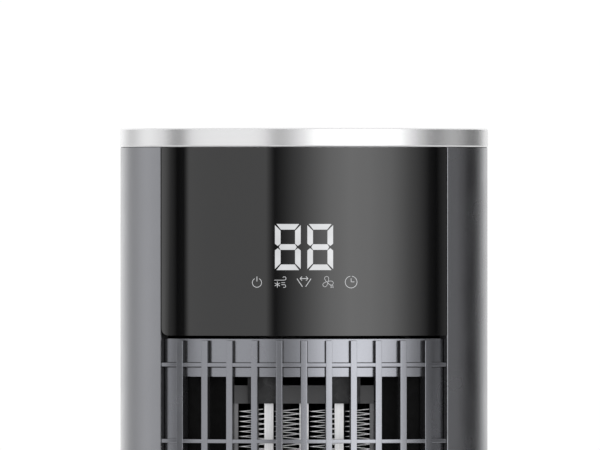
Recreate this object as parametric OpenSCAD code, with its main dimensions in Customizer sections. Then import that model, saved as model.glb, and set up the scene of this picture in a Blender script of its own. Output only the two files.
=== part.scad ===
// Round tower space heater with a ceramic heating element, a tall blower,
// a gloss display window and a swinging base.
// Millimetres. Origin at the centre of the base where it meets the floor.
// The outlet faces -Y and +Z is up.

/* [Tower] */
// Height of the whole heater
tower_h = 620; // [605:5:760]
// Outside diameter of the round tower
tower_d = 184; // [180:1:222]
// Wall of the rear housing
wall = 2.4; // [1.8:0.1:3]
// Rounding of the housing's edges beside the front
edge_round = 0.4; // [0.2:0.1:0.8]
// Height of the ring on top
ring_h = 9.5; // [6:0.5:14]
// How far the ring stands proud of the housing
ring_proud = 0.3; // [0.1:0.1:1]
// Gap between base and tower housing
swing_gap = 2; // [1.5:0.5:4]

/* [Display] */
// Height of the display window
panel_h = 93.8; // [80:0.2:113]
// Thickness of the display window
window_t = 2.5; // [1.5:0.1:3]
// Radius of the window's lower corners
window_r = 3.5; // [2:0.5:8]
// Gap under the display window
panel_gap = 2.4; // [1:0.1:4]
// Gap beside the display window, along the housing's curve
window_gap = 0.8; // [0.5:0.1:1.2]
// Height of a lit digit
digit_h = 23.2; // [16:0.2:28]
// Width of a lit digit
digit_w = 13.1; // [9:0.1:15]
// Distance between the two digits
digit_pitch = 16.1; // [15.5:0.1:20]
// Stroke of a digit's segment
digit_stroke = 3.1; // [2:0.1:3.5]
// Centre of the digits under the window's top edge
digit_drop = 49.7; // [40:0.1:56]
// Centre of the icons under the lower edge of the digits
icon_gap = 5.8; // [5.4:0.2:9]
// Distance between touch icons
icon_pitch = 11.7; // [11.2:0.1:14]

/* [Grille] */
// Number of upright bars
bar_count = 11; // [7:2:13]
// Distance between bars, seen from the front
bar_pitch = 12.45; // [10:0.05:14]
// Width of a bar, seen from the front
bar_w = 3.2; // [2.4:0.1:4]
// Depth of a bar
bar_depth = 2.5; // [2:0.1:4]
// Width of the closed strip beside the outermost bars
edge_cell = 7.7; // [5:0.1:10]
// Skin behind the bars
skin_t = 2.2; // [1.5:0.1:3]
// Height of a cross bar
cross_h = 1.9; // [1.5:0.1:3]
// Distance between cross bars
cross_pitch = 38; // [26:1:60]
// First cross bar under the top of the grille
cross_drop = 12.1; // [8:0.1:16]
// Gap beside the grille, along the housing's curve
grille_gap = 0.5; // [0.3:0.1:1]
// Closed skin above the outlet
head_h = 18.1; // [16:0.1:24]
// Height of the plain band at the bottom of the grille
sill_h = 30; // [20:1:44]

/* [Blower] */
// Diameter of the blower wheel
wheel_d = 84; // [70:1:100]
// Length of the blower wheel
wheel_l = 330; // [275:1:335]
// Number of blades
blade_count = 28; // [20:1:34]
// Diameter of the blower shaft
shaft_d = 6; // [5:0.5:8]
// Diameter of the blower motor
motor_d = 72; // [60:1:80]
// Length of the blower motor
motor_l = 40; // [34:1:44]

/* [Heater] */
// Width of one corrugated fin stack
fin_w = 13; // [10:0.5:15]
// Width of one aluminium tube with its ceramic stones
tube_w = 4.5; // [3:0.1:6]
// Width of a side rail
rail_w = 4.25; // [3:0.25:6]
// Depth of the heater from front to back
ptc_depth = 24; // [18:1:28]
// Pitch of the corrugation
fin_pitch = 6; // [4:0.5:8]

/* [Base] */
// How far the base reaches beyond the tower all round
base_margin = 28; // [24:1:40]
// Top of the base above the floor
base_h = 28; // [26:1:34]
// Wall of the base cover
base_wall = 3; // [2.5:0.1:4]
// Height of the rubber feet
foot_h = 2.5; // [1.5:0.5:4]
// Radius of the pivot spigot
spigot_r = 20; // [17:0.5:22]
// Teeth of the fixed swing gear
gear_teeth = 48; // [48:2:56]
// Teeth of the swing pinion
pinion_teeth = 16; // [16:1:20]
// Radius of the hole for the mains lead
cord_r = 3.6; // [3:0.1:4.5]

/* [Back] */
// Half angle of the filter cover
cover_a = 40; // [34:1:46]
// Height of the filter cover
cover_h = 294; // [240:2:300]
// Bottom of the filter cover above the floor
cover_z = 178; // [170:1:200]
// Width of the carry handle pocket
handle_w = 84; // [76:1:96]
// Height of the carry handle pocket
handle_h = 40; // [34:1:46]
// Depth of the carry handle pocket
handle_d = 28; // [24:1:30]
// Height of the power switch above the floor
switch_z = 100; // [90:1:120]
// Width of the power switch opening
switch_w = 13; // [11:0.5:16]
// Height of the power switch opening
switch_h = 19.5; // [17:0.5:24]

/* [Hidden] */
fa = 144;                                // facets of large circles
fb = 48;                                 // facets of small circles
fit = 0.05;                              // radial clearance of a running fit
gap = 0.3;                               // clearance between pieces that don't fit tightly
touch = 0.02;                            // between faces that rest on each other
eps = 0.2;                               // overlap where two shapes of one piece join
r_out = tower_d / 2;
r_in = r_out - wall;

// Heights, worked down from the top
panel_z1 = tower_h - ring_h;
panel_z0 = panel_z1 - panel_h;
grille_z1 = panel_z0 - panel_gap;
outlet_z1 = grille_z1 - head_h;
plate_t = 3;
plate_r = r_out - bar_depth - skin_t - 1.5;
duct_top_z = outlet_z1 + 0.7;
wheel_end_gap = 5;
wheel_z1 = duct_top_z - wheel_end_gap;
wheel_z0 = wheel_z1 - wheel_l;
duct_low_z = wheel_z0 - wheel_end_gap - plate_t;
outlet_z0 = duct_low_z + plate_t + 0.7;
shell_z0 = base_h + swing_gap;
digit_z = panel_z1 - digit_drop;
icon_z = digit_z - digit_h / 2 - icon_gap;
grille_z0 = shell_z0 + sill_h;

// Widths of the front insert, worked out from the bars
bars_half = (bar_count - 1) / 2 * bar_pitch + bar_w / 2;
insert_half = bars_half + edge_cell;
seam_a = asin(insert_half / r_out);
insert_a = seam_a - asin(grille_gap / r_out);
window_a = seam_a - asin(window_gap / r_out);
outlet_half = bars_half - bar_w;
outlet_a = asin(outlet_half / r_out);
bar_r = r_out - gap;
skin_r = r_out - bar_depth;

// Heater and blower, set behind the outlet
fin_stacks = 4;
ptc_half = (fin_stacks * fin_w + (fin_stacks - 1) * tube_w) / 2 + rail_w;
ptc_side_room = 2;
ptc_y0 = -sqrt(pow(plate_r - 3.5, 2) - pow(ptc_half + ptc_side_room, 2));
ptc_y1 = ptc_y0 + ptc_depth;
ptc_yc = (ptc_y0 + ptc_y1) / 2;
cap_h = 9;
terminal_l = 8;                          // length of a spade below the duct plate
ptc_z0 = wheel_z0;
ptc_z1 = wheel_z1;
duct_gap = 16;
wheel_r = wheel_d / 2;
wheel_y = ptc_y1 + duct_gap + wheel_r;
shaft_r = shaft_d / 2;
motor_r = motor_d / 2;
motor_z1 = duct_low_z - 6;
motor_z0 = motor_z1 - motor_l;
lead_x = ptc_half + 24;
lead_y = -44;
lead_hole_r = 4;

// Swing gear
gear_m = 1;
gear_t = 5;
gear_z = base_h + 9;
gear_c = (gear_teeth + pinion_teeth) / 2 * gear_m + 0.05;
backlash = 0.2;
floor_z = base_h + 3;
floor_t = 3;
floor_hub_h = gear_z - floor_z - 0.5;
osc_r = 24;
osc_l = 19;
osc_z = gear_z + gear_t + 6;

// Base
base_r = r_out + base_margin;
base_top_r = r_out + 6;
plate_z = foot_h;
base_plate_t = 2.5;
post_r = base_r - 25;
ballast_r1 = base_r - 49;
ballast_r0 = spigot_r + 10;
ballast_z = plate_z + base_plate_t + 1;
ballast_h = 12;
foot_count = 5;
foot_ring = base_r - 17;
tip_y = -(base_r - 33);
tip_travel = 4;
tip_flange_z = plate_z + base_plate_t + tip_travel + 0.6;
tip_guide_z = tip_flange_z + 7;
gland_wall = 2;
gland_rim = 1.4;
port_back = 2.5;                         // how far the inlet's port ends short of the rim
cord_z = plate_z + base_plate_t + cord_r + 3.4 + gland_wall + 0.5;
cord_len = 16;
gland_r = cord_r + 3.4;

// Mains board
board_w = 96;
board_t = 1.6;
board_z0 = floor_z + floor_t + 6;
board_h = 80;
board_y = -sqrt(pow(plate_r - 4, 2) - pow(board_w / 2, 2)) + 6;

// Display stack
carrier_t = 2.4;
carrier_r = r_out - window_t - touch;
disp_w = 66;
disp_h = 74;
disp_y = -(r_out - 14);
disp_z0 = icon_z - 18;
icon_r = 4;
spring_room = 0.4;                       // between a light guide and its touch spring
spring_wall = 0.4;
module_edge = 0.8;                       // of the digit module around its digits

// Rear openings
cover_edge = 1.2;
cover_t = 2.4;
handle_z = panel_z1 - 38 - handle_h;
mesh_r = r_out - 6;
bezel_w = 5;                             // rim of the power switch, both sides together
bezel_sink = 0.7;                        // flat seat of that rim in the round housing

// ---- Shared shapes -------------------------------------------------------

// Point at radius r, at an angle counted from the front towards +X
function pol(r, a) = [r * sin(a), -r * cos(a)];

// Pie slice from angle a0 to a1, reaching well past radius r
module wedge(r, a0, a1) {
    n = 8;
    polygon(concat([[0, 0]], [for (i = [0:n]) pol(2 * r, a0 + (a1 - a0) * i / n)]));
}

// Flat piece of ring between two radii and two angles
module band(r0, r1, a0, a1) {
    intersection() {
        difference() {
            circle(r1, $fn = fa);
            circle(r0, $fn = fa);
        }
        wedge(r1, a0, a1);
    }
}

// Upright piece of ring between two heights
module panel(r0, r1, a0, a1, z0, z1) {
    translate([0, 0, z0]) linear_extrude(z1 - z0) band(r0, r1, a0, a1);
}

// Upright cylinder with its base at p
module post(p, r, h, f = fb) {
    translate(p) cylinder(r = r, h = h, $fn = f);
}

// Upright tube with its base at p
module tube(p, r1, r0, h, f = fb) {
    translate(p) difference() {
        cylinder(r = r1, h = h, $fn = f);
        translate([0, 0, -1]) cylinder(r = r0, h = h + 2, $fn = f);
    }
}

// Box given by its lowest and highest corners
module block(a, b) {
    translate(a) cube(b - a);
}

// Round rod from p to q
module rod(p, q, r) {
    d = q - p;
    turn = [0, acos(d[2] / norm(d)), atan2(d[1], d[0])];
    translate(p) rotate(turn) cylinder(r = r, h = norm(d), $fn = 16);
}

// Round wire through a list of points
module wire(pts, r) {
    for (i = [0:len(pts) - 2]) rod(pts[i], pts[i + 1], r);
    for (i = [1:len(pts) - 2]) translate(pts[i]) sphere(1.15 * r, $fn = 24);
}

// Outline of a strip of thickness t along an open line
function side_dir(p, i) =
    let (a = p[max(i - 1, 0)], b = p[min(i + 1, len(p) - 1)], d = b - a)
    [-d[1], d[0]] / norm(d);
function strip(p, t) = concat(
    [for (i = [0:len(p) - 1]) p[i] + side_dir(p, i) * t / 2],
    [for (i = [len(p) - 1:-1:0]) p[i] - side_dir(p, i) * t / 2]);

// Rectangle with rounded corners, centred
module round_rect(w, h, r) {
    square([w - 2 * r, h], center = true);
    square([w, h - 2 * r], center = true);
    for (x = [-1, 1], y = [-1, 1])
        translate([x * (w / 2 - r), y * (h / 2 - r)]) circle(r, $fn = fb);
}

// Shape in X and Z, extruded from y0 to y1
module along_y(y0, y1) {
    translate([0, y1, 0]) rotate([90, 0, 0]) linear_extrude(y1 - y0) children();
}

// Upright screw, head at the top, point at p
module screw(p, r, l, head_r, head_h) {
    post(p, r, l + eps, 24);
    post(p + [0, 0, l], head_r, head_h, 24);
}

// ---- Gears ---------------------------------------------------------------

function roll(rb, r) = sqrt(pow(max(r, rb) / rb, 2) - 1);
function inv_deg(rb, r) = roll(rb, r) * 180 / PI - atan(roll(rb, r));

// Flank angle, from the middle of a tooth, at radius r
function flank(n, r) =
    let (rp = n * gear_m / 2, rb = rp * cos(20))
    (gear_m * PI / 4 - backlash / 2) / rp * 180 / PI + inv_deg(rb, rp) - inv_deg(rb, r);

// Involute gear outline
module gear(n) {
    rp = n * gear_m / 2;
    r0 = rp - 1.25 * gear_m;
    r1 = rp + gear_m;
    steps = 6;
    polygon([
        for (k = [0:n - 1], s = [-1, 1], j = [0:steps])
            let (u = s < 0 ? j : steps - j, r = r0 + (r1 - r0) * u / steps)
            let (a = k * 360 / n + s * flank(n, r))
            [r * cos(a), r * sin(a)]
    ]);
}

// ---- Base ----------------------------------------------------------------

foot_angles = [for (i = [0:foot_count - 1]) (i + 0.5) * 360 / foot_count];

module rubber_feet() {
    color("dimgray") for (a = foot_angles) {
        c = pol(foot_ring, a);
        translate([c[0], c[1], 0]) {
            cylinder(r1 = 7, r2 = 8, h = foot_h, $fn = fb);
            cylinder(r = 4, h = foot_h + base_plate_t, $fn = fb);
        }
    }
}

module base_plate() {
    color("darkslategray") difference() {
        post([0, 0, plate_z], base_r - base_wall - 1, base_plate_t, fa);
        for (a = foot_angles) {
            c = pol(foot_ring, a);
            post([c[0], c[1], 0], 4 + fit, 20);
        }
        for (a = [45:90:315]) {
            c = pol(post_r, a);
            post([c[0], c[1], 0], 1.8, 20);
        }
        post([0, tip_y, 0], 4.4, 20);
    }
}

// Half profile of the cover, or of its inside: an upright rim, a rounded edge and a slope up
edge_r = 6;
edge_turn = 50;
function dome(inset) = [
    [base_r - inset, plate_z],
    for (i = [0:8])
        let (a = i * edge_turn / 8)
        [base_r - edge_r + (edge_r - inset) * cos(a), plate_z + edge_r + (edge_r - inset) * sin(a)],
    [base_top_r - inset / 3, base_h - inset]
];

module base_cover() {
    color("silver") difference() {
        union() {
            difference() {
                rotate_extrude($fn = fa) polygon(concat([[0, plate_z]], dome(0), [[0, base_h]]));
                rotate_extrude($fn = fa)
                    polygon(concat([[0, plate_z - 1], [base_r - base_wall, plate_z - 1]],
                        dome(base_wall), [[0, base_h - base_wall]]));
            }
            post([0, 0, base_h - base_wall - 1], spigot_r, gear_z - base_h + base_wall + 1, fa);
            for (a = [45:90:315]) {
                c = pol(post_r, a);
                post([c[0], c[1], plate_z + base_plate_t], 4.5, base_h - plate_z - base_plate_t - 1);
            }
            along_y(base_r - 14, base_r - port_back)
                translate([0, cord_z]) circle(gland_r + gland_wall, $fn = fb);
        }
        post([0, 0, -1], spigot_r - 6, 80, fa);
        for (a = [45:90:315]) {
            c = pol(post_r, a);
            post([c[0], c[1], 0], 1.6, base_h - 6);
        }
        for (a = [60:120:300]) {
            c = pol(spigot_r - 3, a);
            post([c[0], c[1], gear_z - 8], 1.1, 30);
        }
        along_y(base_r - 40, base_r + 10) translate([0, cord_z]) circle(gland_r + fit, $fn = fb);
        along_y(base_r - port_back, base_r + 10)
            translate([0, cord_z]) circle(gland_r + gland_rim + fit, $fn = fb);
    }
}

module ballast_ring() {
    color("gray") tube([0, 0, ballast_z], ballast_r1, ballast_r0, ballast_h, fa);
    color("gray") for (a = [0:90:270]) {
        c = pol((ballast_r0 + ballast_r1) / 2, a);
        post([c[0], c[1], plate_z + base_plate_t], 5, ballast_z - plate_z - base_plate_t + eps);
    }
}

module slip_ring() {
    color("white") tube([0, 0, base_h], base_top_r - 30, base_top_r - 38, floor_z - base_h - gap, fa);
}

module swing_gear() {
    color("ivory") difference() {
        translate([0, 0, gear_z]) linear_extrude(gear_t) gear(gear_teeth);
        post([0, 0, 0], spigot_r - 6, 90, fa);
        for (a = [60:120:300]) {
            c = pol(spigot_r - 3, a);
            post([c[0], c[1], 0], 1.3, 90);
        }
    }
}

module gear_screws() {
    color("silver") for (a = [60:120:300]) {
        c = pol(spigot_r - 3, a);
        screw([c[0], c[1], gear_z - 7], 1, gear_t + 7, 2.4, 1.6);
    }
}

module base_screws() {
    color("silver") for (a = [45:90:315]) {
        c = pol(post_r, a);
        translate([c[0], c[1], plate_z]) mirror([0, 0, 1]) screw([0, 0, -12], 1.5, 12, 3, 1.6);
    }
}

module tip_plunger() {
    color("black") {
        post([0, tip_y, 0], 4, tip_flange_z + eps);
        post([0, tip_y, tip_flange_z], 5.5, 1.2);
        post([0, tip_y, tip_flange_z + 1], 1.8, tip_guide_z + 2 - tip_flange_z - 1);
    }
}

// Coil of round wire
spring_turns = 5;
spring_sides = 6;
spring_steps = 14;
spring_wire = 0.35;
spring_r = 3.4;
function coil_point(i, k, z0, h) =
    let (a = i * 360 / spring_steps, b = k * 360 / spring_sides, r = spring_r + spring_wire * cos(b))
    [r * cos(a), r * sin(a), z0 + h * i / (spring_turns * spring_steps) + spring_wire * sin(b)];
module coil(z0, h) {
    rings = spring_turns * spring_steps;
    n = spring_sides;
    polyhedron(
        [for (i = [0:rings], k = [0:n - 1]) coil_point(i, k, z0, h)],
        concat(
            [[for (k = [0:n - 1]) k]],
            [for (i = [0:rings - 1], k = [0:n - 1])
                [i * n + k, (i + 1) * n + k, (i + 1) * n + (k + 1) % n, i * n + (k + 1) % n]],
            [[for (k = [n - 1:-1:0]) rings * n + k]]));
}

module tip_spring() {
    z0 = tip_flange_z + 1.2 + spring_wire + 0.05;
    color("silver") translate([0, tip_y, 0]) coil(z0, tip_guide_z - z0 - spring_wire - 0.05);
}

module tip_guide() {
    top_t = 2;
    color("dimgray") {
        tube([0, tip_y, tip_guide_z], 8, 1.8 + fit * 4, top_t);
        difference() {
            tube([0, tip_y, plate_z + base_plate_t], 8, 6, tip_guide_z + eps - plate_z - base_plate_t);
            block([-20, tip_y - 20, tip_guide_z + 1], [20, tip_y + 20, tip_guide_z + 9]);
        }
    }
}

module tip_switch() {
    color("black") {
        block([-8, tip_y - 3, tip_guide_z + 2.6], [8, tip_y + 3, tip_guide_z + 6]);
        for (x = [-7.5, 5.5]) block([x, tip_y - 3, tip_guide_z + 2], [x + 2, tip_y + 3, tip_guide_z + 3]);
    }
}

module cord_gland() {
    y1 = base_r - 0.2;
    color("black") difference() {
        union() {
            along_y(y1 - cord_len, y1) translate([0, cord_z]) circle(gland_r, $fn = fb);
            along_y(base_r - port_back + touch, y1)
                translate([0, cord_z]) circle(gland_r + gland_rim, $fn = fb);
        }
        along_y(0, base_r + 10) translate([0, cord_z]) circle(cord_r, $fn = fb);
    }
}

// ---- Tower structure -----------------------------------------------------

rim_d = 2.9;                             // inward rim of the housing beside the grille
rim_a = 1.6;
rim_set = 0.15;                          // rim set back from the housing's edge, in degrees
ring_spigot = 6;                         // depth of the ring's spigot inside the housing
lug_angles = [95, 265];                  // lugs of the housing on the duct plates
grille_lug_x = ptc_half + 14;            // lugs of the grille beside the heater
grille_lug_y = -sqrt(pow(plate_r - 5, 2) - pow(grille_lug_x, 2));

// Screw places shared by floor, duct plates, housing and grille
screw_spots = concat(
    [for (a = lug_angles) pol(plate_r - 5, a)],
    [for (s = [-1, 1]) [s * grille_lug_x, grille_lug_y]]);

// Holes for those screws
module spot_holes(r) {
    for (p = screw_spots) post([p[0], p[1], 0], r, tower_h, 24);
}

module tower_floor() {
    color("dimgray") difference() {
        union() {
            post([0, 0, floor_z], plate_r, floor_t, fa);
            post([0, 0, floor_z], spigot_r + 4, floor_hub_h, fa);
        }
        post([0, 0, 0], spigot_r + fit, 90, fa);
        spot_holes(1.8);
    }
}

// Lug under a plate, reaching from the shell to a screw
module lug(p, z, r_end) {
    a = atan2(p[0], -p[1]);
    w = 10;
    difference() {
        intersection() {
            post([0, 0, z], r_end, 5, fa);
            rotate([0, 0, a]) block([-w / 2, -r_end - 5, z], [w / 2, -norm(p) + 4.5, z + 5]);
        }
        post([p[0], p[1], z - 1], 1.6, 7, 24);
    }
}

// Sharp corner to take off the housing's edge beside the front, which leaves three narrow flats
// that follow a rounding; side is the way the wall runs
module edge_corner(turn, side) {
    near = edge_round * (1 - cos(30));
    far = edge_round / 2;
    rotate([0, 0, turn]) translate([0, -r_out, shell_z0 - 1]) scale([side, 1, 1])
        linear_extrude(panel_z1 - shell_z0 + 2) polygon([[-1, -1], [-1, 3 * far], [-near, 3 * far],
            [near, far], [far, near], [3 * far, -near], [3 * far, -1]]);
}

// Round wall with its openings, hinge pins, rims and lugs, before its front edges are rounded
module housing_wall() {
    difference() {
        panel(r_in, r_out, seam_a, 360 - seam_a, shell_z0, panel_z1);
        panel(r_out - 30, r_out + 5, 180 - cover_a, 180 + cover_a,
            cover_z - 1, cover_z + cover_h + cover_edge);
        along_y(0, r_out + 5) translate([0, handle_z + handle_h / 2]) round_rect(handle_w, handle_h, 10);
        along_y(0, r_out + 5) translate([0, switch_z])
            square([switch_w + 1 + 2 * gap, switch_h + 1 + 2 * gap], center = true);
        along_y(r_out - bezel_sink, r_out + 5) translate([0, switch_z])
            square([switch_w + bezel_w + 2 * gap, switch_h + bezel_w + 2 * gap], center = true);
        block([-tongue_w / 2 - gap, r_out - 9, hinge_z - hinge_barrel_r - 2 * gap],
            [tongue_w / 2 + gap, r_out + 5, cover_z]);
    }
    hinge_bar(-tongue_w / 2 - 2, 3 - tongue_w / 2, hinge_pin_r);
    hinge_bar(tongue_w / 2 - 3, tongue_w / 2 + 2, hinge_pin_r);
    for (a = [seam_a + rim_set, 360 - seam_a - rim_a])
        panel(r_in - rim_d, r_in + eps, a, a + rim_a - rim_set, shell_z0, panel_z1 - ring_spigot - 1);
    for (i = [0, 1], z = [floor_z + floor_t, duct_low_z - 5, duct_top_z - 5])
        lug(screw_spots[i], z, r_in + eps);
}

module rear_housing() {
    color("silver") difference() {
        housing_wall();
        edge_corner(seam_a, 1);
        edge_corner(-seam_a, -1);
    }
}

cross_count = floor((grille_z1 - cross_drop - grille_z0 - 8) / cross_pitch);

module grille_bars() {
    for (i = [0:bar_count - 1]) {
        x = (i - (bar_count - 1) / 2) * bar_pitch;
        panel(skin_r - eps, bar_r, asin((x - bar_w / 2) / r_out), asin((x + bar_w / 2) / r_out),
            grille_z0 - eps, grille_z1);
    }
}

module front_grille() {
    color("gray") {
        difference() {
            panel(skin_r - skin_t, skin_r, -insert_a, insert_a, shell_z0, grille_z1 + 1.5);
            panel(skin_r - 20, skin_r + 5, -outlet_a, outlet_a, outlet_z0, outlet_z1);
        }
        grille_bars();
        for (i = [0:cross_count]) {
            z = grille_z1 - cross_drop - i * cross_pitch;
            panel(skin_r - eps, bar_r - 0.15, -insert_a, insert_a, z - cross_h / 2, z + cross_h / 2);
        }
        panel(skin_r - eps, bar_r, -insert_a, insert_a, shell_z0, grille_z0);
        for (i = [2, 3], z = [floor_z + floor_t, duct_low_z - 5, duct_top_z - 5])
            lug(screw_spots[i], z, skin_r - skin_t + eps);
    }
}

module tower_screws() {
    plates = [duct_low_z + plate_t, duct_top_z + plate_t];
    color("silver") for (p = screw_spots, z = plates) screw([p[0], p[1], z - 8], 1.5, 8, 2.8, 1.8);
    color("silver") for (p = screw_spots)
        translate([p[0], p[1], floor_z]) mirror([0, 0, 1]) screw([0, 0, -8], 1.5, 8, 2.8, 1.8);
}

module top_ring() {
    r = r_out + ring_proud;
    lip = 4;
    color("gainsboro") rotate_extrude($fn = 2 * fa) polygon([
        [r - lip, tower_h - 3.2], [r - lip, tower_h - 0.4], [r - lip + 0.4, tower_h],
        [r - 0.6, tower_h], [r, tower_h - 0.6],
        [r, panel_z1 + 0.9], [r - 0.25, panel_z1 + 0.3], [r - 0.9, panel_z1],
        [carrier_r - gap, panel_z1], [carrier_r - gap, panel_z1 - ring_spigot],
        [carrier_r - 2.3, panel_z1 - ring_spigot], [carrier_r - 2.3, panel_z1 + 2],
        [r - lip - 3, panel_z1 + 2], [r - lip - 3, tower_h - 3.2]
    ]);
}

module top_cap() {
    r = r_out + ring_proud - 4 - touch;
    color("black") rotate_extrude($fn = fa) polygon([
        [0, tower_h - 5.2], [r - 14, tower_h - 4.4], [r - 4, tower_h - 3.0], [r, tower_h - 3.0],
        [r, tower_h - 0.9], [r - 0.5, tower_h - 0.4], [r - 3, tower_h - 0.4], [r - 8, tower_h - 1.4],
        [r - 16, tower_h - 2.2], [0, tower_h - 2.9]
    ]);
}

// ---- Display -------------------------------------------------------------

module display_window() {
    half = r_out * sin(window_a);
    color([0.03, 0.03, 0.035]) intersection() {
        panel(r_out - window_t, r_out, -window_a, window_a, panel_z0, panel_z1 - 0.1);
        along_y(-r_out - 5, -20) union() {
            translate([-half, panel_z0 + window_r]) square([2 * half, panel_h]);
            translate([window_r - half, panel_z0]) square([2 * (half - window_r), panel_h]);
            for (s = [-1, 1])
                translate([s * (half - window_r), panel_z0 + window_r]) circle(window_r, $fn = fb);
        }
    }
}

digits_w = digit_pitch + digit_w + 6;

module display_carrier() {
    edge = insert_a - 1.5;
    color("dimgray") {
        difference() {
            panel(carrier_r - carrier_t, carrier_r, -edge, edge, panel_z0 + 0.5, panel_z1 - 7);
            block([-digits_w / 2, -r_out, digit_z - digit_h / 2 - 3],
                [digits_w / 2, -20, digit_z + digit_h / 2 + 3]);
            for (i = [-2:2])
                along_y(-r_out, -20) translate([i * icon_pitch, icon_z]) circle(icon_r + 1.2, $fn = fb);
        }
        for (x = [-1, 1], z = [disp_z0 + 5, disp_z0 + disp_h - 5])
            along_y(-(carrier_r - carrier_t / 2) * cos(asin((disp_w / 2 - 5) / carrier_r)), disp_y - board_t)
                translate([x * (disp_w / 2 - 5), z]) circle(2.6, $fn = 24);
    }
}

module display_board() {
    color("darkgreen") block([-disp_w / 2, disp_y - board_t, disp_z0],
        [disp_w / 2, disp_y, disp_z0 + disp_h]);
}

digit_y = disp_y - board_t - 7;

module digit_module() {
    color("black") block([-digits_w / 2 + 0.5, digit_y, digit_z - digit_h / 2 - module_edge],
        [digits_w / 2 - 0.5, disp_y - board_t, digit_z + digit_h / 2 + module_edge]);
}

// Seven-segment figure, all segments lit, with mitred joints a gap g wide
segment_gap = 0.5;
module figure() {
    t = digit_stroke;
    g = segment_gap;
    w = digit_w / 2;
    h = digit_h / 2;
    for (m = [0, 1]) mirror([0, m]) {
        polygon([[-w + 1.4 * g, h], [w - 1.4 * g, h], [w - t - 0.3 * g, h - t], [-w + t + 0.3 * g, h - t]]);
        for (k = [0, 1]) mirror([k, 0])
            polygon([[-w, h - g], [-w + t, h - t - g], [-w + t, t / 2 + g / 2],
                [-w + t / 2, g], [-w, t / 2 + g / 2]]);
    }
    polygon([[-w + t / 2 + g, 0], [-w + t, t / 2], [w - t, t / 2], [w - t / 2 - g, 0], [w - t, -t / 2],
        [-w + t, -t / 2]]);
}

module digit_segments() {
    reach = 1.4;
    color("white") for (s = [-1, 1])
        along_y(digit_y - reach, digit_y) translate([s * digit_pitch / 2, digit_z]) figure();
}

// Shape in X and Z, from the display board up to the back of the window
module behind_window() {
    intersection() {
        post([0, 0, panel_z0], r_out - window_t - gap, panel_h, fa);
        along_y(-r_out, disp_y - board_t) children();
    }
}

module icon_guides() {
    color("white") for (i = [-2:2])
        behind_window() translate([i * icon_pitch, icon_z]) circle(icon_r, $fn = fb);
}

module touch_springs() {
    r = icon_r + spring_room;
    color("silver") for (i = [-2:2]) behind_window() translate([i * icon_pitch, icon_z]) difference() {
        circle(r + spring_wall, $fn = fb);
        circle(r, $fn = fb);
    }
}

module buzzer() {
    color("black") along_y(disp_y, disp_y + 6)
        translate([disp_w / 2 - 12, disp_z0 + disp_h - 12]) circle(6, $fn = fb);
}

// ---- Back ----------------------------------------------------------------

module handle_cup() {
    t = 2;
    x = handle_w / 2 - 0.3;
    z0 = handle_z + 0.3;
    z1 = handle_z + handle_h - 0.3;
    grip = 8;
    y_back = r_out - 1;
    color("dimgray") intersection() {
        post([0, 0, 0], r_out - 0.4, tower_h, fa);
        difference() {
            along_y(r_out - handle_d, y_back + 5)
                translate([0, (z0 + z1) / 2]) round_rect(2 * x, z1 - z0, 9.7);
            along_y(r_out - handle_d + t, y_back + 9)
                translate([0, (z0 + z1) / 2]) round_rect(2 * x - 2 * t, z1 - z0 - 2 * t, 9.7 - t);
        }
    }
    rim = asin((x + 5) / r_in);
    color("dimgray") difference() {
        panel(r_in - 1.6, r_in - touch, 180 - rim, 180 + rim, z0 - 4, z1 + 4);
        along_y(20, y_back + 5) translate([0, (z0 + z1) / 2]) round_rect(2 * x - t, z1 - z0 - t, 9.7 - t / 2);
    }
    color("dimgray") intersection() {
        along_y(r_out - handle_d, y_back + 5)
            translate([0, (z0 + z1) / 2]) round_rect(2 * x, z1 - z0, 9.7);
        difference() {
            panel(r_out - 4.4, r_out - 0.4, 130, 230, z1 - grip, z1);
            block([-x, 0, z1 - 40], [x, r_out * cos(asin(x / r_out)) - 5, z1 - t + eps]);
        }
    }
}

rocker_tilt = 8;
rocker_y = r_out - 3.6;
rocker_pin_r = 0.75;

module rocker_case() {
    y1 = r_out + 0.8;
    w = switch_w;
    h = switch_h;
    color("black") {
        difference() {
            union() {
                along_y(r_out - 16, y1 - 1) translate([0, switch_z]) square([w + 1, h + 1], center = true);
                along_y(r_out - bezel_sink + touch, y1) translate([0, switch_z])
                    round_rect(w + bezel_w, h + bezel_w, 1.5);
                for (x = [-3, 3])
                    block([x - 0.4, r_out - 24, switch_z - 3], [x + 0.4, r_out - 15, switch_z + 3]);
            }
            along_y(r_out - 12, y1 + 1) translate([0, switch_z]) square([w - 1.6, h - 1.6], center = true);
        }
        translate([-w / 2, rocker_y, switch_z]) rotate([0, 90, 0])
            cylinder(r = rocker_pin_r, h = w, $fn = 24);
    }
}

module rocker() {
    w = switch_w - 1.6 - 2 * gap;
    h = switch_h - 1.6 - 2 * gap;
    push = 4.6;
    color([0.25, 0.25, 0.27]) translate([0, rocker_y, switch_z]) rotate([-rocker_tilt, 0, 0])
        rotate([90, 0, 90]) linear_extrude(w, center = true) difference() {
            polygon([[-2.6, -2.2], [-2.6, 2.2], [2.4, h / 2 - 1.1], [push, h / 2 - 1.1],
                [push - 1, 0], [push, -h / 2 + 1.1], [2.4, -h / 2 + 1.1]]);
            circle(rocker_pin_r + fit, $fn = 24);
        }
}

slot_rows = floor((cover_h - 28) / 6);

// The cover tilts about pins at the foot of its middle
tongue_w = 14;
hinge_y = r_out - 1.2;
hinge_z = cover_z - 3;
hinge_pin_r = 0.6;
hinge_barrel_r = 1.15;

// Round bar along X on the cover's hinge axis
module hinge_bar(x0, x1, r) {
    translate([x0, hinge_y, hinge_z]) rotate([0, 90, 0]) cylinder(r = r, h = x1 - x0, $fn = fb);
}

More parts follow.
